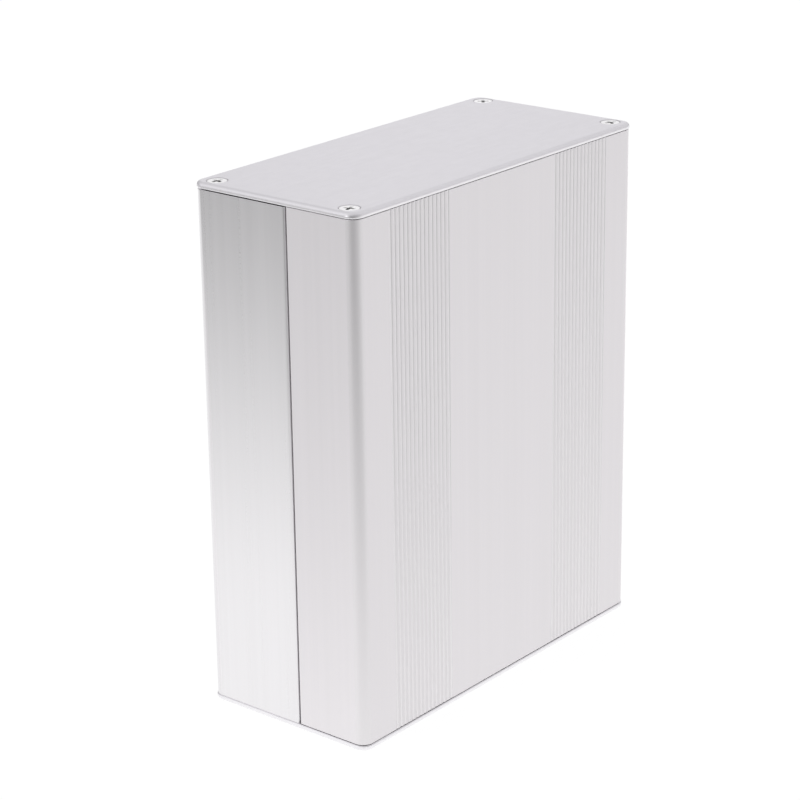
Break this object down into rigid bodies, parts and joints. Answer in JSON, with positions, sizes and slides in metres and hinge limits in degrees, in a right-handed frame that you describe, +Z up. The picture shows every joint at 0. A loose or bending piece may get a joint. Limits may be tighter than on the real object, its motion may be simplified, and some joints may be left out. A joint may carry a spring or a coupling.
{
  "type": "aluminium enclosure",
  "caption": "Split-body extruded aluminium enclosure for electronics: interlocking half shells with grooved faces and card slots, closed by screwed end plates.",
  "frame": {"origin": "middle of the underside of the bottom end plate", "axes": "+Z up along the extrusion, X across the grooved wide faces, Y through the depth of both shells"},
  "size_m": [0.1104, 0.0504, 0.1345],
  "materials": {
    "shell": "satin natural anodised extrusion",
    "plate": "fine matt natural anodised sheet",
    "screw": "bright nickel plated"
  },
  "bodies": {
    "root": {"front_shell": "shell", "rear_shell": "shell", "top_end_plate": "plate", "bottom_end_plate": "plate", "top_screws": "screw", "bottom_screws": "screw"}
  },
  "joints": []
}
